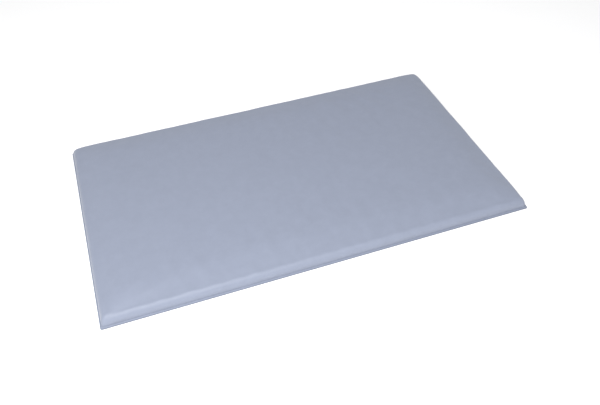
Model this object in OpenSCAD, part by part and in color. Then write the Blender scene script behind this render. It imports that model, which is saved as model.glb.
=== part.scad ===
// Thin pressure relief mattress: a two-layer foam core in a knitted liner,
// inside a wipe-clean cover with a welded edge and a zip in its back wall.
// Millimetres. The origin is the middle of the underside, +Z is up,
// the long side runs along X and the zip is on the +Y side.

/* [Overall] */
// Length over the welded edge
overall_length = 640; // [600:10:700]
// Width over the welded edge
overall_width = 376; // [320:4:420]
// Height at the middle of the crown
overall_height = 20; // [20:1:26]

/* [Cover] */
// Thickness of the coated fabric
sheet = 0.8; // [0.6:0.1:1.0]
// How far the welded edge stands out from the wall
flange_width = 2.5; // [2.5:0.5:5]
// Plan radius at the tips of the welded edge
flange_corner = 5; // [3:1:8]
// Plan radius of the wall at the corners
wall_corner = 11; // [10:1:16]
// Radius where the wall rolls over into the top
edge_radius = 8; // [7:0.5:8]
// Rise of the top from its edges to its middle
crown_height = 3.4; // [2.4:0.2:3.4]
// How far in from the wall the crown reaches its height
crown_run = 45; // [40:5:90]

/* [Core] */
// Thickness of the knitted liner
liner = 0.4; // [0.3:0.1:0.6]
// Thickness of the memory foam on top
comfort_height = 8.6; // [6:0.2:9]
// Distance between the slits that divide the support foam into cells
cell_pitch = 42; // [30:2:60]
// Depth of those slits
slit_depth = 5; // [3:0.5:6]
// Width of those slits
slit_width = 1.2; // [0.8:0.1:2.0]

/* [Zip] */
// Length of the row of teeth
chain_length = 549; // [500:1:550]
// Distance from one tooth to the next on the same tape
tooth_pitch = 2.5; // [2.2:0.1:3.0]
// Height of the zip's centre line above the underside
zip_height = 6.6; // [6.6:0.1:6.8]
// Length of the pull tab
pull_length = 18; // [14:1:20]

/* [Label] */
// Length of the blank care label
label_length = 60; // [40:5:80]
// Width of the blank care label
label_width = 30; // [20:5:40]

/* [Hidden] */

$fn = 32;
hair = 0.1;                                   // play between pieces that lie together
cut = 1;                                      // how far a cutting solid runs past a face
roll_step = 11.25;                            // degrees between the facets of the rolled edge

body_length = overall_length - 2 * flange_width;
body_width = overall_width - 2 * flange_width;
shoulder = overall_height - crown_height;     // top of the rolled edge
wall_face = body_width / 2;                   // outside of the back wall
liner_inset = sheet + hair;
foam_inset = liner_inset + liner + hair;
foam_floor = sheet + liner + 2 * hair;
layer_joint = overall_height - foam_inset - comfort_height;

// Zip sizes, in the zip's own frame: x along the tapes towards the open end,
// y up the wall and z out of it. z = 0 is the middle of the tapes.
tape_thickness = 0.5;
tape_edge = 1.9;                              // the tapes' inner edges, from the centre line
tape_reach = 4.9;                             // the tapes' outer edges
tape_overrun = 10;                            // tape past each end of the chain
tape_depth = 1.7;                             // the tapes' middle plane, in from the wall's face
tooth_thickness = 2;
tooth_root = 1.2;                             // where a tooth leaves its cord
tooth_tip = 0.9;                              // how far a tooth reaches past the centre line
tooth_gap = 0.08;
tooth_taper = 0.12;
chain_start = -chain_length / 2;              // the end that closes last
top_stop_length = 2.4;
top_stop_width = 1.3;
bottom_stop_length = 3;
slot_half_height = 3.9;
slot_overrun = 7;                             // opening past each end of the chain

// Slider sizes, in the same frame, about the slider's own middle.
slider_length = 9.5;
slider_tail = 6;                              // width over the rails at the tail
slider_nose = 7.2;                            // and at the nose
plate_inside = 1.2;                           // inner faces of the two plates, from z = 0
plate_thickness = 0.9;
rail_width = 0.8;
rail_slot = 0.5;                              // half the gap that the tapes run through
neck_radius = 0.9;
neck_place = -2.6;
slider_place = chain_start + 1;               // the closed position
axle_place = -0.5;                            // the pull's axle, along the slider
axle_height = plate_inside + plate_thickness + 0.9;
axle_radius = 0.5;
axle_play = 0.05;
lug_half_length = 1.3;
lug_half_width = 0.8;
lug_top = axle_height + 0.9;
arm_inner = lug_half_width + 0.15;
arm_outer = arm_inner + 0.8;
arm_reach = 1.9;                              // from the axle to where the two arms meet
pull_thickness = 1;
pull_width = 5;
pull_shoulder = 2.5;                          // where the tab reaches its full width
pull_chamfer = 1;
pull_hole_radius = 1.3;
pull_hole_margin = 4;                         // from the hole's middle to the tab's end

thread = 0.5;
stitch_length = 2.8;
stitch_pitch = 4;
stitch_height = 4.4;                          // the seams, from the zip's centre line

label_thickness = 0.3;
label_place = [210, 120];

// The pad's solid shape, `inset` inside the cover's outer surface,
// with its back wall moved in by `back_gap` and its underside at `bottom`.
module pad_solid(inset, bottom, back_gap = 0) {
    front = -body_width / 2 + wall_corner;
    back = body_width / 2 - wall_corner - back_gap;
    hull() {
        for (x = [-1, 1] * (body_length / 2 - wall_corner), y = [front, back])
            translate([x, y, 0]) corner_post(inset, bottom);
        translate([0, -back_gap / 2, overall_height - inset - hair / 2])
            cube([body_length - 2 * crown_run, body_width - 2 * crown_run - back_gap, hair], center = true);
    }
}

// One rounded corner of the pad, turned about a vertical axis.
module corner_post(inset, bottom) {
    roll = edge_radius - inset;
    middle = wall_corner - edge_radius;
    rotate_extrude()
        polygon(concat(
            [[0, bottom], [wall_corner - inset, bottom]],
            [for (a = [0:roll_step:90]) [middle + roll * cos(a), shoulder - edge_radius + roll * sin(a)]],
            [[0, shoulder - inset]]));
}

// Outline of the welded edge.
module edge_outline() {
    offset(r = flange_corner)
        square([overall_length - 2 * flange_corner, overall_width - 2 * flange_corner], center = true);
}

// Puts a shape drawn in the zip's own frame on the back wall.
module on_back_wall() {
    translate([0, wall_face - tape_depth, zip_height]) rotate([90, 0, 180]) children();
}

module cover_top_sheet() {
    color([0.64, 0.68, 0.76])
    difference() {
        union() {
            pad_solid(0, sheet);
            translate([0, 0, sheet]) linear_extrude(sheet) edge_outline();
        }
        pad_solid(sheet, sheet - cut);
        on_back_wall()
            translate([chain_start - slot_overrun, -slot_half_height, -cut])
                cube([chain_length + 2 * slot_overrun, 2 * slot_half_height, tape_depth + 2 * cut]);
    }
}

module cover_base_sheet() {
    color([0.50, 0.55, 0.64])
    difference() {
        linear_extrude(sheet) edge_outline();
        translate([label_place[0] - hair, label_place[1] - hair, -cut])
            cube([label_length + 2 * hair, label_width + 2 * hair, cut + label_thickness + hair / 2]);
    }
}

// Knitted sock, open at its -X end where it is tucked under.
module inner_liner() {
    color([0.93, 0.93, 0.90])
    difference() {
        pad_solid(liner_inset, sheet + hair / 2, zip_clearance());
        pad_solid(liner_inset + liner, sheet + hair / 2 + liner, zip_clearance());
        translate([-body_length / 2 - cut, -body_width / 2, 0])
            cube([wall_corner, body_width, overall_height]);
    }
}

// Room that the core leaves for the slider's inner plate.
function zip_clearance() = tape_depth + plate_inside + plate_thickness - liner_inset + 3 * hair;

// The slits that fit across a span, counted from the middle one.
function slit_rows(span) = let (count = ceil(span / 2 / cell_pitch) - 1) [-count:count];

// The part of the core between two heights.
module core_slab(bottom, top) {
    intersection() {
        pad_solid(foam_inset, foam_floor, zip_clearance());
        translate([-body_length / 2, -body_width / 2, bottom]) cube([body_length, body_width, top - bottom]);
    }
}

module comfort_foam() {
    color([0.95, 0.90, 0.72])
    core_slab(layer_joint, overall_height);
}

module support_foam() {
    color([0.72, 0.78, 0.86])
    difference() {
        core_slab(foam_floor, layer_joint);
        for (k = slit_rows(body_length))
            translate([k * cell_pitch, 0, layer_joint])
                cube([slit_width, overall_width, 2 * slit_depth], center = true);
        for (k = slit_rows(body_width))
            translate([0, k * cell_pitch, layer_joint])
                cube([overall_length, slit_width, 2 * slit_depth], center = true);
    }
}

// side is 1 for the tape above the chain and -1 for the one below.
module zip_tape(side) {
    color([0.36, 0.41, 0.50])
    on_back_wall()
        translate([chain_start - tape_overrun, side > 0 ? tape_edge : -tape_reach, -tape_thickness / 2])
            cube([chain_length + 2 * tape_overrun, tape_reach - tape_edge, tape_thickness]);
}

// Teeth moulded on one tape's cord. The two rows are half a pitch apart, so they interlock.
module zip_teeth(side) {
    count = floor(chain_length / tooth_pitch);
    first = chain_start + (side > 0 ? 0 : tooth_pitch / 2);
    width = tooth_pitch / 2 - 2 * tooth_gap;
    last = first + (count - 1) * tooth_pitch + width;
    color([0.30, 0.35, 0.44])
    on_back_wall()
        translate([0, 0, -tooth_thickness / 2])
            linear_extrude(tooth_thickness)
                polygon([
                    [last, side * tape_edge],
                    [first, side * tape_edge],
                    for (k = [0:count - 1], corner = [0:3])
                        [first + k * tooth_pitch + [0, tooth_taper, width - tooth_taper, width][corner],
                         side * [tooth_root, -tooth_tip, -tooth_tip, tooth_root][corner]]]);
}

// Two small stops on the tapes' edges, ahead of the closed slider.
module zip_top_stops() {
    nose = slider_place - slider_length / 2;
    color([0.30, 0.35, 0.44])
    on_back_wall()
        for (side = [-1, 1])
            translate([nose - top_stop_length / 2 - 2 * hair, side * (tape_edge - top_stop_width / 2), 0])
                cube([top_stop_length, top_stop_width, tooth_thickness], center = true);
}

// The block that joins the two tapes at the open end.
module zip_bottom_stop() {
    color([0.30, 0.35, 0.44])
    on_back_wall()
        translate([chain_start + chain_length + bottom_stop_length / 2 + 4 * hair, 0, 0])
            cube([bottom_stop_length, 2 * tape_edge, tooth_thickness], center = true);
}

// One seam of short stitches, `height` from the zip's centre line.
module stitching(height) {
    drop = max(0, zip_height + height - (shoulder - edge_radius));
    back = edge_radius - sqrt(edge_radius * edge_radius - drop * drop);
    count = floor((chain_length + 2 * slot_overrun) / stitch_pitch / 2);
    color([0.80, 0.83, 0.88])
    on_back_wall()
        for (k = [-count:count])
            translate([k * stitch_pitch - stitch_length / 2, height, tape_depth - back + thread / 2 + hair / 4])
                rotate([0, 90, 0]) cylinder(d = thread, h = stitch_length);
}

// Two shield-shaped plates with inturned rails, joined by the neck that parts the teeth.
module zip_slider_body() {
    color([0.52, 0.56, 0.62])
    on_back_wall()
    translate([slider_place, 0, 0])
    difference() {
        union() {
            for (side = [-1, 1]) {
                translate([0, 0, side > 0 ? plate_inside : -plate_inside - plate_thickness])
                    linear_extrude(plate_thickness) shield(0);
                translate([0, 0, side > 0 ? rail_slot : -plate_inside])
                    linear_extrude(plate_inside - rail_slot)
                        difference() {
                            shield(0);
                            shield(rail_width);
                        }
            }
            translate([neck_place, 0, -plate_inside - plate_thickness / 2])
                cylinder(r = neck_radius, h = 2 * plate_inside + plate_thickness);
            translate([axle_place - lug_half_length, -lug_half_width, plate_inside + plate_thickness / 2])
                cube([2 * lug_half_length, 2 * lug_half_width, lug_top - plate_inside - plate_thickness / 2]);
        }
        translate([axle_place, lug_half_width + cut, axle_height])
            rotate([90, 0, 0])
                cylinder(r = axle_radius + axle_play, h = 2 * (lug_half_width + cut));
    }
}

// Plan of the slider: wide at the nose and narrower at the tail. A margin leaves the channel,
// which is open at both ends.
module shield(margin) {
    end = slider_length / 2 + (margin > 0 ? cut : 0);
    nose = slider_nose / 2 - margin;
    tail = slider_tail / 2 - margin;
    polygon([[-end, -nose], [0, -nose], [end, -tail], [end, tail], [0, nose], [-end, nose]]);
}

// The tab, its two arms and the axle that runs through the slider's lug.
module zip_pull_tab() {
    half = pull_width / 2;
    color([0.52, 0.56, 0.62])
    on_back_wall()
    translate([slider_place + axle_place, 0, axle_height]) {
        rotate([90, 0, 0]) cylinder(r = axle_radius, h = 2 * arm_outer, center = true);
        for (side = [-1, 1])
            translate([(arm_reach + pull_chamfer) / 2, side * (arm_inner + arm_outer) / 2, 0])
                cube([arm_reach + pull_chamfer, arm_outer - arm_inner, pull_thickness], center = true);
        translate([arm_reach, 0, -pull_thickness / 2])
            difference() {
                linear_extrude(pull_thickness)
                    polygon([
                        [0, -arm_outer], [pull_shoulder, -half],
                        [pull_length - pull_chamfer, -half], [pull_length, -half + pull_chamfer],
                        [pull_length, half - pull_chamfer], [pull_length - pull_chamfer, half],
                        [pull_shoulder, half], [0, arm_outer]]);
                translate([pull_length - pull_hole_margin, 0, -cut])
                    cylinder(r = pull_hole_radius, h = pull_thickness + 2 * cut);
            }
    }
}

// Blank label, let into the underside.
module care_label() {
    color([0.92, 0.93, 0.94])
    translate([label_place[0], label_place[1], hair / 2])
        cube([label_length, label_width, label_thickness - hair / 2]);
}

cover_top_sheet();
cover_base_sheet();
inner_liner();
comfort_foam();
support_foam();
zip_tape(1);  // zip_tape_upper
zip_tape(-1);  // zip_tape_lower
zip_teeth(1);  // zip_teeth_upper
zip_teeth(-1);  // zip_teeth_lower
zip_top_stops();
zip_bottom_stop();
stitching(stitch_height);  // zip_stitching_upper
stitching(-stitch_height);  // zip_stitching_lower
zip_slider_body();
zip_pull_tab();
care_label();
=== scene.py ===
import math

import bmesh
import bpy
import numpy as np
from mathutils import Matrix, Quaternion, Vector, noise
from mathutils.bvhtree import BVHTree


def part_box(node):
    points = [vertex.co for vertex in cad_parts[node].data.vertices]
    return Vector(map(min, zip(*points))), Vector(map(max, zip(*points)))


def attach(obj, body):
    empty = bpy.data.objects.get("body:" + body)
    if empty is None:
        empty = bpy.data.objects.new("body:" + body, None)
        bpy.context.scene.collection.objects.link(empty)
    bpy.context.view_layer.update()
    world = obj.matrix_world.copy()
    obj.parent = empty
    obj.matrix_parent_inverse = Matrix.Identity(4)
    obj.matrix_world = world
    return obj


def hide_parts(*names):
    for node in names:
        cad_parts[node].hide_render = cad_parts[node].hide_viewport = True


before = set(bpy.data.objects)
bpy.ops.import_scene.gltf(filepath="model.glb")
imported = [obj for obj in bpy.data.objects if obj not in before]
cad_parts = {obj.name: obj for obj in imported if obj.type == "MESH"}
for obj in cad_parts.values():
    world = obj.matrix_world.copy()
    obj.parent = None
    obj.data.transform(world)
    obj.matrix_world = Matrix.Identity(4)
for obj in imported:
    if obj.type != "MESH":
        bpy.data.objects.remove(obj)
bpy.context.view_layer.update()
MM = 0.001


# ---------------------------------------------------------------- sizes, in millimetres

def box_mm(node):
    low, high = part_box(node)
    return low / MM, high / MM


edge_low, edge_high = box_mm("cover_base_sheet")
top_low, top_high = box_mm("cover_top_sheet")
HALF_LENGTH = edge_high.x
HALF_WIDTH = edge_high.y
SHEET = edge_high.z                     # thickness of the coated fabric
HEIGHT = top_high.z
FLANGE = 2.5                            # width of the welded edge
FLANGE_CORNER = 1.8                     # its plan radius
WALL_CORNER = 3.5                       # plan radius of the wall
TOP_CORNER = 1.2                        # plan radius where the roll ends
EDGE_RADIUS = 8.0                       # radius from the wall into the top
CROWN = 3.4
CROWN_RUN = 40.0
SHOULDER = HEIGHT - CROWN
ROLL_START = SHOULDER - EDGE_RADIUS     # height where the wall starts to roll over
SLOT_LOW, SLOT_HIGH = 2.7, 10.5         # the zip's opening in the back wall
SLOT_HALF = 281.5
CELL = 5.0                              # spacing of the grid across the top
CORNER_DROOP = 0.48                     # share of the height lost at the corners
DROOP_RUN = 10.0
DROOP_REACH = 31.0                      # how far in from the wall the droop ends, short of the zip


def smooth(t):
    t = np.clip(t, 0, 1)
    return t * t * (3 - 2 * t)


def droop(x, y):
    """Share of its height that the pad keeps at a place, least at the tips of its corners."""
    along = droop_share(HALF_LENGTH - FLANGE - np.abs(x))
    across = droop_share(HALF_WIDTH - FLANGE - np.abs(y))
    return 1 - CORNER_DROOP * along * across


def droop_share(inset):
    """1 at the wall, falling to 0 where the droop ends."""
    tail = math.exp(-DROOP_REACH / DROOP_RUN)
    return np.maximum(np.exp(-np.maximum(inset, 0) / DROOP_RUN) - tail, 0) / (1 - tail)


# ---------------------------------------------------------------- grids that follow the pad

def spaced(half, stops):
    """Grid lines from -half to half, about a cell apart, with a line at every stop."""
    marks = sorted({-half, half, *stops, *(-s for s in stops)})
    lines = [marks[0]]
    for a, b in zip(marks, marks[1:]):
        count = max(1, round((b - a) / CELL))
        lines += [a + (b - a) * (k + 1) / count for k in range(count)]
    return np.array(lines)


def corner_walk(ring, share, inner, half):
    """A point part of the way from a side's last grid line to the middle of the corner's arc."""
    inset, _, radius = ring
    straight = half - inset - radius - inner
    distance = share * (straight + radius * math.pi / 4)
    if distance < straight:
        return inner + distance, 0.0
    angle = (distance - straight) / radius
    return half - inset - radius + radius * math.sin(angle), radius * (1 - math.cos(angle))


def pad_grid(rings, x_stops=(), y_stops=()):
    """A square grid wrapped on a rounded rectangle. rings go from the outer edge in: inset, height and
    plan radius. Returns the points as rows of columns, and each point's ring number."""
    last = len(rings) - 1
    inset, _, radius = rings[last]
    half = (HALF_LENGTH - inset, HALF_WIDTH - inset)
    inner = (half[0] - radius, half[1] - radius)
    xs = spaced(half[0], (inner[0], *x_stops))
    ys = spaced(half[1], (inner[1], *y_stops))
    columns, rows = len(xs) + 2 * last, len(ys) + 2 * last
    points = np.zeros((rows, columns, 3))
    number = np.zeros((rows, columns), int)
    for j in range(rows):
        for i in range(columns):
            ring = min(i, j, columns - 1 - i, rows - 1 - j, last)
            number[j, i] = ring
            points[j, i] = grid_point(rings, ring, i, j, xs, ys, inner, last)
    return points, number


def grid_point(rings, ring, i, j, xs, ys, inner, last):
    """Where the point in column i and row j lies: at a corner, along a side, or inside the last ring."""
    columns, rows = len(xs) + 2 * last, len(ys) + 2 * last
    from_left, from_front = min(i, columns - 1 - i), min(j, rows - 1 - j)
    side_x = -1 if i < columns / 2 else 1
    side_y = -1 if j < rows / 2 else 1
    inset, height, _ = rings[ring]
    steps = last - ring + 1
    if from_front == ring and from_left <= last:
        along, back = corner_walk(rings[ring], (last + 1 - from_left) / steps, inner[0], HALF_LENGTH)
        return side_x * along, side_y * (HALF_WIDTH - inset - back), height
    if from_left == ring and from_front <= last:
        along, back = corner_walk(rings[ring], (last + 1 - from_front) / steps, inner[1], HALF_WIDTH)
        return side_x * (HALF_LENGTH - inset - back), side_y * along, height
    if from_front == ring and ring < last:
        return xs[i - last], side_y * (HALF_WIDTH - inset), height
    if from_left == ring and ring < last:
        return side_x * (HALF_LENGTH - inset), ys[j - last], height
    return xs[i - last], ys[j - last], height


def grid_mesh(name, points, keep=None, flip=False):
    """A mesh with one face in each cell of a grid of points in millimetres. keep says which cells stay."""
    rows, columns = points.shape[:2]
    mesh = bpy.data.meshes.new(name)
    faces = []
    for j in range(rows - 1):
        for i in range(columns - 1):
            if keep is not None and not keep[j, i]:
                continue
            a = j * columns + i
            face = (a, a + 1, a + 1 + columns, a + columns)
            faces.append(face[::-1] if flip else face)
    mesh.from_pydata([Vector(p) * MM for p in points.reshape(-1, 3)], [], faces)
    bm = bmesh.new()
    bm.from_mesh(mesh)
    bmesh.ops.delete(bm, geom=[v for v in bm.verts if not v.link_faces], context="VERTS")
    bm.to_mesh(mesh)
    bm.free()
    mesh.shade_smooth()
    return add_object(name, mesh)


def mesh_from(bm, name):
    mesh = bpy.data.meshes.new(name)
    bm.to_mesh(mesh)
    bm.free()
    return mesh


def add_object(name, mesh):
    obj = bpy.data.objects.new(name, mesh)
    bpy.context.scene.collection.objects.link(obj)
    return obj


# ---------------------------------------------------------------- top cover

def ring_radius(inset):
    """Plan radius at an inset: the welded edge's blends into the wall's, which then shrinks inwards."""
    if inset < FLANGE:
        return FLANGE_CORNER + (WALL_CORNER - FLANGE_CORNER) * inset / FLANGE
    return WALL_CORNER + (TOP_CORNER - WALL_CORNER) * (inset - FLANGE) / EDGE_RADIUS


WELD_PRESS = 0.25                       # how deep the weld is pressed into the top sheet
WALL_FOOT = 0.4                         # the wall's lowest ring, above the welded edge
WALL_RINGS = (4.6, 6.6)                 # between the foot of the zip's opening and the roll
ROLL_STEPS = 8


def cover_rings():
    """The rings of the top cover, from the welded edge in and up: inset, height and plan radius."""
    face = 2 * SHEET
    weld = WELD_PRESS
    flat = [(0, face - 0.2), (0.2, face), (0.6, face), (0.8, face - weld), (1.6, face - weld),
            (1.8, face), (2.2, face), (2.4, face + 0.1)]
    wall = [(FLANGE, z) for z in (face + WALL_FOOT, SLOT_LOW, *WALL_RINGS, ROLL_START)]
    first = math.asin((SLOT_HIGH - ROLL_START) / EDGE_RADIUS)
    roll = []
    for k in range(ROLL_STEPS):
        angle = first + (math.pi / 2 - first) * k / (ROLL_STEPS - 1)
        inset = FLANGE + EDGE_RADIUS * (1 - math.cos(angle))
        roll.append((inset, ROLL_START + EDGE_RADIUS * math.sin(angle)))
    return [(d, z, ring_radius(d)) for d, z in flat + wall + roll]


def crown(x, y):
    """Rise of the top above its shoulders at a place."""
    along = (HALF_LENGTH - FLANGE - EDGE_RADIUS - np.abs(x)) / CROWN_RUN
    across = (HALF_WIDTH - FLANGE - EDGE_RADIUS - np.abs(y)) / CROWN_RUN
    return CROWN * np.sin(math.pi / 2 * np.clip(along, 0, 1)) * np.sin(math.pi / 2 * np.clip(across, 0, 1))


def grid_normals(points):
    across = np.gradient(points, axis=1)
    along = np.gradient(points, axis=0)
    normal = np.cross(across, along)
    return normal / np.maximum(np.linalg.norm(normal, axis=2, keepdims=True), 1e-9)


def blurred(field, passes):
    """The field, averaged with its neighbours a number of times."""
    for _ in range(passes):
        edged = np.pad(field, 1, mode="edge")
        field = (edged[1:-1, 1:-1] * 4 + edged[:-2, 1:-1] + edged[2:, 1:-1]
                 + edged[1:-1, :-2] + edged[1:-1, 2:]) / 8
    return field


CLOTH_FRAMES = 20
SLACK = 0.012                           # how much longer the fabric is than the foam it covers
SWELL_CAP = 1.1                         # furthest the fabric stands off the foam, mm
RIPPLE_CAP = 0.45                       # and its ripples
SWELL_SCALE = 6.0                       # simulated lift that gives most of each cap, mm
RIPPLE_SCALE = 0.8
BROAD_PASSES = 40                       # blur that leaves the broad swell
FINE_PASSES = 2                         # and the one that takes out single-cell noise
FABRIC_MASS = 0.3
STRETCH_STIFFNESS = 12
SHEAR_STIFFNESS = 4
BEND_STIFFNESS = 0.4
PRESSURE = 4


def puffed(points, held):
    """Lifts the grid off the foam as slack fabric does, by a cloth simulation. held is 1 where it's fixed."""
    obj = grid_mesh("cloth_trial", points)
    group = obj.vertex_groups.new(name="held")
    flat = held.ravel()
    group.add([int(k) for k in np.nonzero(flat)[0]], 1.0, "REPLACE")
    cloth = obj.modifiers.new("cloth", "CLOTH")
    settings = cloth.settings
    settings.vertex_group_mass = "held"
    settings.quality = 6
    settings.mass = FABRIC_MASS
    settings.tension_stiffness = STRETCH_STIFFNESS
    settings.compression_stiffness = STRETCH_STIFFNESS
    settings.shear_stiffness = SHEAR_STIFFNESS
    settings.bending_stiffness = BEND_STIFFNESS
    settings.shrink_min = -SLACK
    settings.use_pressure = True
    settings.uniform_pressure_force = PRESSURE
    settings.effector_weights.gravity = 0
    cloth.collision_settings.use_collision = False
    cloth.collision_settings.use_self_collision = False
    cloth.point_cache.frame_start = 1
    cloth.point_cache.frame_end = CLOTH_FRAMES
    for step in range(1, CLOTH_FRAMES + 1):
        bpy.context.scene.frame_set(step)
    moved = obj.evaluated_get(bpy.context.evaluated_depsgraph_get()).data
    result = np.zeros(len(moved.vertices) * 3)
    moved.vertices.foreach_get("co", result)
    result = result.reshape(points.shape) / MM
    bpy.context.scene.frame_set(1)
    bpy.data.objects.remove(obj)
    rise = ((result - points) * grid_normals(points)).sum(axis=2)
    return shaped_rise(rise) * (1 - held)


def shaped_rise(rise):
    """Caps the simulated lift, which is far more than the real fabric's. The broad swell and the fine
    ripples have limits of their own, so the simulation gives their pattern and the caps their size."""
    broad = blurred(rise, BROAD_PASSES)
    fine = blurred(rise, FINE_PASSES) - broad
    swell = SWELL_CAP * np.tanh(np.maximum(broad, 0) / SWELL_SCALE)
    return swell + RIPPLE_CAP * np.tanh(fine / RIPPLE_SCALE)


PUCKER_FOOT = 4                         # how far below the roll the gathers start, mm
SHORT_GATHER, SHORT_DEPTH = 17, 0.30    # spacing and depth of the two sizes of gather, mm
LONG_GATHER, LONG_DEPTH = 55, 0.45
GATHER_FADE = 12                        # how far they run on into the top, mm


def pucker_share(z):
    """How strong the gathers are at a height: nothing below their foot, most half way up the roll."""
    if z <= ROLL_START - PUCKER_FOOT:
        return 0.0
    return max(0.0, math.sin(math.pi * (z - ROLL_START + PUCKER_FOOT) / (EDGE_RADIUS + 2 * PUCKER_FOOT)))


def puckers(points, number, rings):
    """Shallow irregular gathers along the rolled edge."""
    lift = np.zeros(number.shape)
    rolled = np.array([pucker_share(z) for _, z, _ in rings])
    for j in range(number.shape[0]):
        for i in range(number.shape[1]):
            x, y, z = points[j, i]
            short = noise.noise(Vector((x / SHORT_GATHER, y / SHORT_GATHER, 3.1)))
            long = noise.noise(Vector((x / LONG_GATHER, y / LONG_GATHER, 8.7)))
            lift[j, i] = rolled[number[j, i]] * (SHORT_DEPTH * short + LONG_DEPTH * long)
            if number[j, i] == len(rings) - 1:
                inset = min(HALF_LENGTH - abs(x), HALF_WIDTH - abs(y)) - FLANGE - EDGE_RADIUS
                lift[j, i] *= math.exp(-inset / GATHER_FADE)
    return lift


def cover_shape(rings):
    """The top cover's grid on the foam, before the fabric lifts."""
    points, number = pad_grid(rings, x_stops=(SLOT_HALF,))
    x, y = points[..., 0], points[..., 1]
    points[..., 2] += np.where(number == len(rings) - 1, crown(x, y), 0)
    weld = 2 * SHEET
    body = points[..., 2] > weld
    scale = np.where(body, droop(x, y), 1)
    points[..., 2] = np.where(body, weld + (points[..., 2] - weld) * scale, points[..., 2])
    return points, number


def back_rings(number):
    """True at the grid points whose ring number is counted from the back wall alone."""
    rows, columns = number.shape
    column, row = np.arange(columns), np.arange(rows)
    from_sides = np.minimum(column, column[::-1])[None, :]
    from_front = row[:, None]
    return np.minimum(from_sides, from_front) > number


def slot_cells(points, rings, foot, top):
    """False for the grid's cells inside the zip's opening, between two rings of the back wall."""
    rows, columns = points.shape[:2]
    keep = np.ones((rows - 1, columns - 1), bool)
    for j in range(rows - 1 - top, rows - 1 - foot):
        for i in range(len(rings), columns - len(rings)):
            middle = (points[j, i, 0] + points[j, i + 1, 0]) / 2
            if abs(middle) < SLOT_HALF:
                keep[j, i] = False
    return keep


EASING_RINGS = 4                        # rings over which the lift grows from the wall's foot


def make_cover_top():
    """The top cover, and its outer skin as a search tree, which the core is fitted to."""
    rings = cover_rings()
    points, number = cover_shape(rings)
    heights = [z for _, z, _ in rings]
    slot_foot = heights.index(SLOT_LOW)
    slot_top = next(k for k, z in enumerate(heights) if z > SLOT_HIGH - 0.1)
    back_wall = back_rings(number) & (number <= slot_top + 1)
    held = ((number <= slot_foot) | back_wall).astype(float)
    lift = puffed(points, held)
    easing = np.clip((number - slot_foot) / EASING_RINGS, 0, 1) * np.where(back_wall, 0, 1)
    lift = lift * easing + puckers(points, number, rings) * (1 - held)
    points = points + grid_normals(points) * lift[..., None]
    cover = grid_mesh("cover_top", points, slot_cells(points, rings, slot_foot, slot_top))
    skin = surface_tree(cover.data)
    thicken(cover, lambda z: (z - SHEET) / SHEET)
    return cover, skin


def surface_tree(mesh):
    """A search tree of a mesh's faces, in millimetres."""
    return BVHTree.FromPolygons([Vector(v.co) / MM for v in mesh.vertices],
                                [tuple(f.vertices) for f in mesh.polygons])


def thicken(obj, share):
    """Gives a sheet its thickness. share says how much of it is left at a height, where a weld or
    the label's pocket has pressed it thinner."""
    group = obj.vertex_groups.new(name="share")
    for v in obj.data.vertices:
        group.add([v.index], min(1.0, share(v.co.z / MM)), "REPLACE")
    finer = obj.modifiers.new("finer", "SUBSURF")
    finer.levels = finer.render_levels = 1
    finer.boundary_smooth = "PRESERVE_CORNERS"
    solid = obj.modifiers.new("sheet", "SOLIDIFY")
    solid.thickness = SHEET * MM
    solid.offset = -1
    solid.use_even_offset = True
    solid.vertex_group = "share"
    bpy.context.view_layer.update()
    mesh = bpy.data.meshes.new_from_object(obj.evaluated_get(bpy.context.evaluated_depsgraph_get()))
    obj.modifiers.clear()
    obj.data = mesh
    obj.vertex_groups.clear()
    mesh.shade_smooth()


# ---------------------------------------------------------------- base cover and label

BASE_PRESS = 0.2                        # how deep the weld is pressed into the base sheet
BASE_RIPPLE = 0.12                      # height of the base's ripples, which start in from the edge
RIPPLE_SPACING = 45
RIPPLE_START = 12
RIPPLE_RUN = 20
LABEL_POCKET = 0.35                     # depth of the label's pocket
POCKET_MARGIN = 0.6                     # its floor, past the label
POCKET_EASE = 0.5                       # its sloping sides
NEAR = 0.01                             # slack in a comparison of places


def make_cover_base():
    weld = BASE_PRESS
    flat = [(0, weld), (0.2, 0), (0.6, 0), (0.8, weld), (1.6, weld), (1.8, 0),
            (FLANGE, 0), (FLANGE + EDGE_RADIUS, 0)]
    rings = [(d, z, ring_radius(d)) for d, z in flat]
    low, high = box_mm("care_label")
    margin = Vector((POCKET_MARGIN, POCKET_MARGIN, 0))
    low, high = low - margin, high + margin
    x_stops = (low.x - POCKET_EASE, low.x, high.x, high.x + POCKET_EASE)
    y_stops = (low.y - POCKET_EASE, low.y, high.y, high.y + POCKET_EASE)
    points, number = pad_grid(rings, x_stops, y_stops)
    x, y = points[..., 0], points[..., 1]
    pocket = (x > low.x - NEAR) & (x < high.x + NEAR) & (y > low.y - NEAR) & (y < high.y + NEAR)
    ripple = np.array([[noise.noise(Vector((a / RIPPLE_SPACING, b / RIPPLE_SPACING, 5.5)))
                        for a, b in zip(row_x, row_y)] for row_x, row_y in zip(x, y)])
    from_edge = np.minimum(HALF_LENGTH - np.abs(x), HALF_WIDTH - np.abs(y))
    inside = smooth((from_edge - RIPPLE_START) / RIPPLE_RUN)
    points[..., 2] += BASE_RIPPLE * inside * np.maximum(ripple, 0)
    points[..., 2] = np.where(pocket, LABEL_POCKET, points[..., 2])
    base = grid_mesh("cover_base", points, flip=True)
    thicken(base, lambda z: 1 - z / SHEET)
    return base


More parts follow.
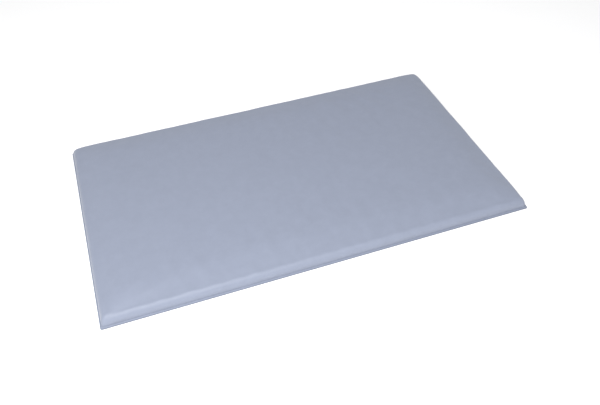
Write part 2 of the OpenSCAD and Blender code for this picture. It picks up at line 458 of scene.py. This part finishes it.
def make_label():
    low, high = box_mm("care_label")
    middle, half = (low + high) / 2, (high - low) / 2
    bm = bmesh.new()
    bmesh.ops.create_grid(bm, x_segments=24, y_segments=12, size=1)
    for v in bm.verts:
        v.co = Vector((middle.x + v.co.x * half.x, middle.y + v.co.y * half.y, low.z)) * MM
    bmesh.ops.reverse_faces(bm, faces=bm.faces)
    label = add_object("label", mesh_from(bm, "label"))
    solid = label.modifiers.new("sheet", "SOLIDIFY")
    solid.thickness = (high.z - low.z) * MM
    solid.offset = -1
    edge = label.modifiers.new("edge", "BEVEL")
    edge.width = 0.08 * MM
    edge.segments = 2
    return label


# ---------------------------------------------------------------- core

# distances in from the wall, mm
EDGE_CUTS = (2, 5, 8, 12, 16, 21, 26, 33, 40)
GRID_CUT = 12.0                         # spacing of the cuts further in
SIDE_EASE = 0.8                         # room left between the core and the cover's gathers
TOP_EASE = 0.35


def cut_places(half):
    """Where the core's pieces are cut across, so that they can bend: closest together by the walls."""
    inner = half - FLANGE - EDGE_CUTS[-1]
    count = round(2 * inner / GRID_CUT)
    places = [-inner + 2 * inner * k / count for k in range(count + 1)]
    return places + [sign * (half - FLANGE - cut) for sign in (-1, 1) for cut in EDGE_CUTS[:-1]]


def height_at(tree, x, y):
    """Height of the surface straight above a place, from a ray sent down, or None past its edge."""
    hit = tree.ray_cast(Vector((x, y, 2 * HEIGHT)), Vector((0, 0, -1)))[0]
    return None if hit is None else hit.z


def fitted_copy(node, name, skin):
    """The node's own shape, let down under the cover so that it follows the cover's shape."""
    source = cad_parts[node]
    nominal = surface_tree(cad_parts["cover_top_sheet"].data)
    bm = bmesh.new()
    bm.from_mesh(source.data)
    bmesh.ops.remove_doubles(bm, verts=bm.verts, dist=0.00001)
    for axis, half in ((0, HALF_LENGTH), (1, HALF_WIDTH)):
        for cut in cut_places(half):
            place, normal = Vector(), Vector()
            place[axis] = cut * MM
            normal[axis] = 1
            geometry = [*bm.verts, *bm.edges, *bm.faces]
            bmesh.ops.bisect_plane(bm, geom=geometry, plane_co=place, plane_no=normal, dist=1e-7)
    floor = 2 * SHEET
    for v in bm.verts:
        x, y, z = v.co / MM
        u, w = x * (1 - SIDE_EASE / HALF_LENGTH), y * (1 - SIDE_EASE / HALF_WIDTH)
        before, after = height_at(nominal, x, y), height_at(skin, u, w)
        if z > floor and before is not None and after is not None:
            z = floor + (z - floor) * (min(before, after) - TOP_EASE - floor) / (before - floor)
        v.co = Vector((u, w, z)) * MM
    mesh = mesh_from(bm, name)
    mesh.shade_smooth()
    mesh.set_sharp_from_angle(angle=math.radians(35))
    return add_object(name, mesh)


# ---------------------------------------------------------------- seams

THREAD_SIDES = 6
THREAD_STEPS = 6
STITCH = 2.8
STITCH_PITCH = 4.0
STITCH_DIP = 0.55                       # how deep each end goes into the fabric
THREAD_TAPER = 0.35


def make_seam(node, name):
    """A row of separate stitches, each an arch of thread that dips into the fabric at both ends."""
    low, high = box_mm(node)
    radius = (high.z - low.z) / 2
    count = round((high.x - low.x - STITCH) / STITCH_PITCH) + 1
    bm = bmesh.new()
    for k in range(count):
        start = low.x + k * STITCH_PITCH
        rings = []
        for s in range(THREAD_STEPS + 1):
            t = s / THREAD_STEPS
            dip = STITCH_DIP * (2 * t - 1) ** 4
            girth = radius * (1 - THREAD_TAPER * (2 * t - 1) ** 6)
            centre = Vector((start + STITCH * t, (low.y + high.y) / 2 - dip, (low.z + high.z) / 2))
            ring = []
            for a in range(THREAD_SIDES):
                angle = 2 * math.pi * a / THREAD_SIDES
                offset = Vector((0, math.cos(angle), math.sin(angle))) * girth
                ring.append(bm.verts.new((centre + offset) * MM))
            rings.append(ring)
        for near, far in zip(rings, rings[1:]):
            for a in range(THREAD_SIDES):
                b = (a + 1) % THREAD_SIDES
                bm.faces.new((near[a], near[b], far[b], far[a]))
        bm.faces.new(rings[0][::-1])
        bm.faces.new(rings[-1])
    bmesh.ops.recalc_face_normals(bm, faces=bm.faces)
    mesh = mesh_from(bm, name)
    mesh.shade_smooth()
    return add_object(name, mesh)


# ---------------------------------------------------------------- materials

class Shader:
    """A new material with a Principled surface, and short ways to add nodes to it."""

    def __init__(self, name, roughness=0.5):
        self.material = bpy.data.materials.new(name)
        self.material.use_nodes = True
        self.tree = self.material.node_tree
        self.surface = self.tree.nodes["Principled BSDF"]
        self.surface.inputs["Roughness"].default_value = roughness
        self.place = self.add("ShaderNodeTexCoord").outputs["Object"]

    def add(self, kind, **values):
        node = self.tree.nodes.new(kind)
        for key, value in values.items():
            setattr(node, key, value)
        return node

    def link(self, start, end):
        self.tree.links.new(start, end)

    def noise(self, scale, detail=3.0, roughness=0.5):
        node = self.add("ShaderNodeTexNoise")
        node.inputs["Scale"].default_value = scale
        node.inputs["Detail"].default_value = detail
        node.inputs["Roughness"].default_value = roughness
        self.link(self.place, node.inputs["Vector"])
        return node.outputs["Fac"]

    def threads(self, direction, pitch, wobble=0.3):
        """Bands a pitch apart, in metres."""
        node = self.add("ShaderNodeTexWave", bands_direction=direction)
        node.inputs["Scale"].default_value = math.pi / 10 / pitch
        node.inputs["Distortion"].default_value = wobble
        node.inputs["Detail Scale"].default_value = 2.0
        self.link(self.place, node.inputs["Vector"])
        return node.outputs["Fac"]

    def cells(self, scale, feature="F1"):
        node = self.add("ShaderNodeTexVoronoi", feature=feature)
        node.inputs["Scale"].default_value = scale
        self.link(self.place, node.inputs["Vector"])
        return node.outputs["Distance"]

    def math(self, operation, a, b):
        node = self.add("ShaderNodeMath", operation=operation)
        for socket, value in zip(node.inputs, (a, b)):
            if isinstance(value, (int, float)):
                socket.default_value = value
            else:
                self.link(value, socket)
        return node.outputs[0]

    def between(self, factor, low, high, start=0.3, end=0.7):
        """A colour that runs from low to high as factor goes from start to end."""
        node = self.add("ShaderNodeValToRGB")
        node.color_ramp.elements[0].position = start
        node.color_ramp.elements[1].position = end
        node.color_ramp.elements[0].color = (*low, 1)
        node.color_ramp.elements[1].color = (*high, 1)
        self.link(factor, node.inputs["Fac"])
        return node.outputs["Color"]

    def ranged(self, factor, low, high):
        """A value that runs from low to high as factor goes from 0 to 1."""
        node = self.add("ShaderNodeMapRange")
        node.inputs["To Min"].default_value = low
        node.inputs["To Max"].default_value = high
        self.link(factor, node.inputs["Value"])
        return node.outputs["Result"]

    def bump(self, height, depth, strength=1.0, below=None):
        node = self.add("ShaderNodeBump")
        node.inputs["Distance"].default_value = depth
        node.inputs["Strength"].default_value = strength
        self.link(height, node.inputs["Height"])
        if below is not None:
            self.link(below, node.inputs["Normal"])
        return node.outputs["Normal"]

    def finish(self, colour, rough, normal):
        self.link(colour, self.surface.inputs["Base Color"])
        self.link(rough, self.surface.inputs["Roughness"])
        self.link(normal, self.surface.inputs["Normal"])
        return self.material


def shade(colour, factor):
    return tuple(min(1.0, c * factor) for c in colour)


def coated_fabric(name, colour, rough, specular):
    """Polyurethane coat on a fine knit: a faint weave under a satin skin, with soft mottling."""
    s = Shader(name)
    s.surface.inputs["Specular IOR Level"].default_value = specular
    s.surface.inputs["Sheen Weight"].default_value = 0.12
    s.surface.inputs["Sheen Roughness"].default_value = 0.5
    weave = s.math("MULTIPLY", s.threads("X", 0.0007), s.threads("Y", 0.0007))
    mottle = s.noise(75, 5, 0.6)
    tone = s.math("ADD", s.math("MULTIPLY", mottle, 0.8), s.math("MULTIPLY", weave, 0.2))
    base = s.between(tone, shade(colour, 0.965), shade(colour, 1.03))
    rough_map = s.ranged(s.noise(70, 3), rough - 0.05, rough + 0.06)
    grain = s.bump(s.noise(900, 2), 0.00002, 0.5)
    woven = s.bump(weave, 0.00003, 0.5, grain)
    return s.finish(base, rough_map, s.bump(mottle, 0.0002, 0.35, woven))


def knitted(name, colour):
    s = Shader(name)
    loops = s.math("MULTIPLY", s.threads("X", 0.0012, 1.5), s.threads("Y", 0.0009, 1.5))
    base = s.between(loops, shade(colour, 0.8), colour)
    return s.finish(base, s.ranged(s.noise(200), 0.8, 0.95), s.bump(loops, 0.0002, 0.8))


def foam(name, colour, cell):
    s = Shader(name)
    pores = s.cells(1 / cell)
    base = s.between(pores, shade(colour, 0.72), colour, 0.1, 0.55)
    return s.finish(base, s.ranged(s.noise(80), 0.85, 0.97), s.bump(pores, 0.0004, 0.8))


def woven_tape(name, colour):
    s = Shader(name)
    twill = s.math("MULTIPLY", s.threads("DIAGONAL", 0.0006, 0.4), s.threads("Z", 0.0005, 0.4))
    base = s.between(twill, shade(colour, 0.75), shade(colour, 1.15))
    return s.finish(base, s.ranged(s.noise(300), 0.7, 0.9), s.bump(twill, 0.0001, 0.8))


def moulded_plastic(name, colour):
    s = Shader(name)
    grain = s.noise(1400, 3)
    base = s.between(s.noise(90), shade(colour, 0.9), shade(colour, 1.1))
    return s.finish(base, s.ranged(grain, 0.32, 0.5), s.bump(grain, 0.00002, 0.4))


def satin_metal(name, colour):
    s = Shader(name)
    s.surface.inputs["Metallic"].default_value = 0.85
    scuffs = s.noise(1100, 5, 0.7)
    base = s.between(s.noise(160), shade(colour, 0.85), shade(colour, 1.12))
    return s.finish(base, s.ranged(scuffs, 0.25, 0.5), s.bump(scuffs, 0.00001, 0.5))


def thread(name, colour):
    s = Shader(name)
    twist = s.threads("DIAGONAL", 0.0004, 0.2)
    base = s.between(twist, shade(colour, 0.7), colour)
    return s.finish(base, s.ranged(s.noise(500), 0.6, 0.8), s.bump(twist, 0.00008, 0.8))


UNDERSIDE_REACH = 0.003                 # rays shorter than this, in metres, leave through the floor


def pale_floor(name):
    """White paper, clear from below and to the underside's own short rays, so that the underside
    can be looked at."""
    s = Shader(name)
    soft = s.noise(3, 2)
    base = s.between(soft, (0.93, 0.93, 0.935), (0.95, 0.95, 0.955))
    s.finish(base, s.ranged(soft, 0.85, 0.95), s.bump(soft, 0.0001, 0.1))
    clear = s.add("ShaderNodeBsdfTransparent").outputs["BSDF"]
    mix = s.add("ShaderNodeMixShader")
    path = s.add("ShaderNodeLightPath")
    near = s.math("LESS_THAN", path.outputs["Ray Length"], UNDERSIDE_REACH)
    lit = s.math("MULTIPLY", near, path.outputs["Is Diffuse Ray"])
    behind = s.add("ShaderNodeNewGeometry").outputs["Backfacing"]
    s.link(s.math("MAXIMUM", behind, lit), mix.inputs["Fac"])
    s.link(s.surface.outputs["BSDF"], mix.inputs[1])
    s.link(clear, mix.inputs[2])
    s.link(mix.outputs["Shader"], s.tree.nodes["Material Output"].inputs["Surface"])
    return s.material


def dress(obj, material):
    obj.data.materials.clear()
    obj.data.materials.append(material)


def redress(node, material):
    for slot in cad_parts[node].material_slots:
        slot.material = material


# ---------------------------------------------------------------- the mattress

COVER = (0.201, 0.225, 0.292)
BASE = (0.15, 0.17, 0.23)


def make_mattress():
    cover, skin = make_cover_top()
    dress(cover, coated_fabric("coated_top", COVER, 0.52, 0.4))
    base = make_cover_base()
    dress(base, coated_fabric("coated_base", BASE, 0.6, 0.3))
    label = make_label()
    dress(label, woven_tape("label_weave", (0.8, 0.82, 0.84)))
    liner = fitted_copy("inner_liner", "liner", skin)
    dress(liner, knitted("liner_knit", (0.82, 0.82, 0.78)))
    comfort = fitted_copy("comfort_foam", "comfort_layer", skin)
    dress(comfort, foam("comfort_foam_cells", (0.85, 0.75, 0.45), 0.0011))
    support = fitted_copy("support_foam", "support_layer", skin)
    dress(support, foam("support_foam_cells", (0.45, 0.56, 0.70), 0.0016))
    upper = make_seam("zip_stitching_upper", "seam_upper")
    lower = make_seam("zip_stitching_lower", "seam_lower")
    seam_thread = thread("seam_thread", (0.62, 0.66, 0.74))
    parts = [(cover, "cover_top_sheet", "cover_top"), (base, "cover_base_sheet", "cover_base"),
             (label, "care_label", "label"), (liner, "inner_liner", "liner"),
             (comfort, "comfort_foam", "comfort_foam"), (support, "support_foam", "support_foam"),
             (upper, "zip_stitching_upper", "thread"), (lower, "zip_stitching_lower", "thread")]
    for seam in (upper, lower):
        dress(seam, seam_thread)
    for piece, node, slot in parts:
        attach(piece, "mattress")
        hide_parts(node)


def dress_zip():
    tape = woven_tape("zip_tape_weave", (0.11, 0.14, 0.21))
    plastic = moulded_plastic("zip_plastic", (0.075, 0.10, 0.16))
    metal = satin_metal("zip_metal", (0.42, 0.45, 0.50))
    for node in ("zip_tape_upper", "zip_tape_lower"):
        redress(node, tape)
    for node in ("zip_teeth_upper", "zip_teeth_lower", "zip_top_stops", "zip_bottom_stop"):
        redress(node, plastic)
    for node in ("zip_slider_body", "zip_pull_tab"):
        redress(node, metal)


# ---------------------------------------------------------------- studio

AZIMUTH, ELEVATION, ROLL = -18.38, 44.59, -1.48     # degrees
DISTANCE = 1.006
TARGET = Vector((0.0008, -0.0556, 0.0))
LENS = 39.1


def make_camera():
    data = bpy.data.cameras.new("camera")
    data.lens = LENS
    camera = add_object("camera", data)
    turn, rise = math.radians(AZIMUTH), math.radians(ELEVATION)
    back = Vector((math.sin(turn) * math.cos(rise), -math.cos(turn) * math.cos(rise), math.sin(rise)))
    camera.location = TARGET + back * DISTANCE
    camera.rotation_mode = "QUATERNION"
    camera.rotation_quaternion = (-back).to_track_quat("-Z", "Y") @ Quaternion((0, 0, 1), math.radians(ROLL))
    bpy.context.scene.camera = camera


def make_light(name, place, size, power, aim=(0, 0, 0)):
    data = bpy.data.lights.new(name, "AREA")
    data.shape = "DISK"
    data.size = size
    data.energy = power
    light = add_object(name, data)
    light.location = place
    light.rotation_mode = "QUATERNION"
    light.rotation_quaternion = (Vector(aim) - light.location).to_track_quat("-Z", "Y")


FLOOR_HALF = 6.0
FLOOR_GAP = 0.0004                      # keeps the floor and the underside from lying in one plane


def make_floor():
    bm = bmesh.new()
    bmesh.ops.create_grid(bm, x_segments=8, y_segments=8, size=FLOOR_HALF)
    floor = add_object("floor", mesh_from(bm, "floor"))
    floor.location.z = -FLOOR_GAP
    dress(floor, pale_floor("floor_paper"))


SKY = 0.74


def make_studio():
    make_floor()
    make_light("key", (-0.4, -0.65, 0.9), 0.9, 17)
    make_light("fill", (0.9, -0.4, 1.8), 1.8, 1)
    make_light("low", (0.7, -0.95, 0.12), 0.5, 0.8, (0.25, -0.18, 0.01))
    world = bpy.data.worlds.new("studio")
    world.use_nodes = True
    sky = world.node_tree.nodes["Background"]
    sky.inputs["Color"].default_value = (1, 1, 1, 1)
    sky.inputs["Strength"].default_value = SKY
    bpy.context.scene.world = world
    bpy.context.scene.view_settings.view_transform = "Standard"


make_camera()
make_studio()
make_mattress()
dress_zip()
